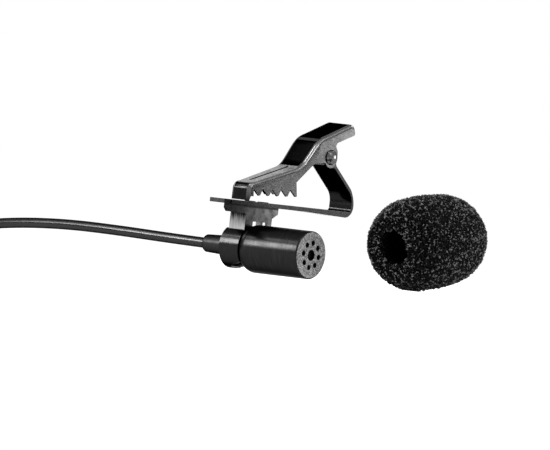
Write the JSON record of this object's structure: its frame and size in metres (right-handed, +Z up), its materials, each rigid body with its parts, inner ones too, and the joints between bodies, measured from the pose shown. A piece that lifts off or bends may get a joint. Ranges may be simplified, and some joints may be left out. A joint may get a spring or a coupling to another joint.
{
  "type": "lavalier microphone",
  "caption": "Clip-on microphone: round barrel with a drilled grille, sprung tie clip that turns round the neck, foam windscreen lying beside it, and a put-away cord with a jack plug.",
  "frame": {"origin": "on the microphone's axis, where the barrel's round wall ends in front", "axes": "+X out of the grille along the microphone's axis, +Y along the clip towards its bend, +Z up to the clip"},
  "size_m": [0.1342, 0.06, 0.0272],
  "materials": {
    "satin_black": "satin",
    "grille_grey": "fine grain",
    "screen_cloth": "woven",
    "bare_aluminium": "drawn",
    "contact_brass": "turned",
    "board": "matt",
    "solder": "bright",
    "wire_jacket": "matt",
    "black_plastic": "satin",
    "soft_rubber": "matt",
    "cord_jacket": "half gloss",
    "plated_contact": "bright",
    "foam": "open cells",
    "black_steel": "black plated, satin",
    "gloss_steel": "gloss",
    "spring_steel": "dark"
  },
  "bodies": {
    "microphone": {"barrel_tube": "satin_black", "front_grille": "grille_grey", "dust_screen": "screen_cloth", "felt_disc": "screen_cloth", "capsule_can": "bare_aluminium", "diaphragm_ring": "contact_brass", "backplate": "contact_brass", "capsule_board": "board", "fet_chip": "black_plastic", "capsule_boot": "soft_rubber", "solder_joints": "solder", "signal_wire": "wire_jacket", "ground_wire": "wire_jacket", "rear_neck": "black_plastic", "lock_nut": "contact_brass", "crimp_ferrule": "bare_aluminium", "cord_inside": "cord_jacket", "strain_relief": "soft_rubber", "cord": "cord_jacket", "cord_coil": "cord_jacket", "cord_tie": "soft_rubber", "cord_tail": "cord_jacket", "plug_relief": "soft_rubber", "plug_body": "black_plastic", "plug_sleeve": "plated_contact", "plug_ring_2": "plated_contact", "plug_ring_1": "plated_contact", "plug_tip": "plated_contact", "plug_insulator": "black_plastic"},
    "clip": {"clip_plate": "black_steel", "clip_holder": "black_steel", "holder_stakes": "black_steel", "pivot_rivet": "gloss_steel", "torsion_spring": "spring_steel"},
    "clip_jaw": {"jaw": "black_steel"},
    "foam": {"windscreen": "foam"}
  },
  "joints": [
    {"name": "clip_swivel", "type": "hinge", "parent": "microphone", "child": "clip", "pos_m": [-0.015, 0, 0], "axis": [1, 0, 0], "continuous": true},
    {"name": "jaw_pivot", "type": "hinge", "parent": "clip", "child": "clip_jaw", "pos_m": [-0.0152, 0.0187, 0.01706], "axis": [-1, 0, 0], "range_deg": [0, 30], "stiffness_Nm_per_rad": 0.05, "springref_deg": -40.11, "deforming": ["torsion_spring"]},
    {"name": "windscreen_lift", "type": "slide", "parent": "microphone", "child": "foam", "axis": [0, 0, 1], "range_m": [0, 0.03]}
  ]
}
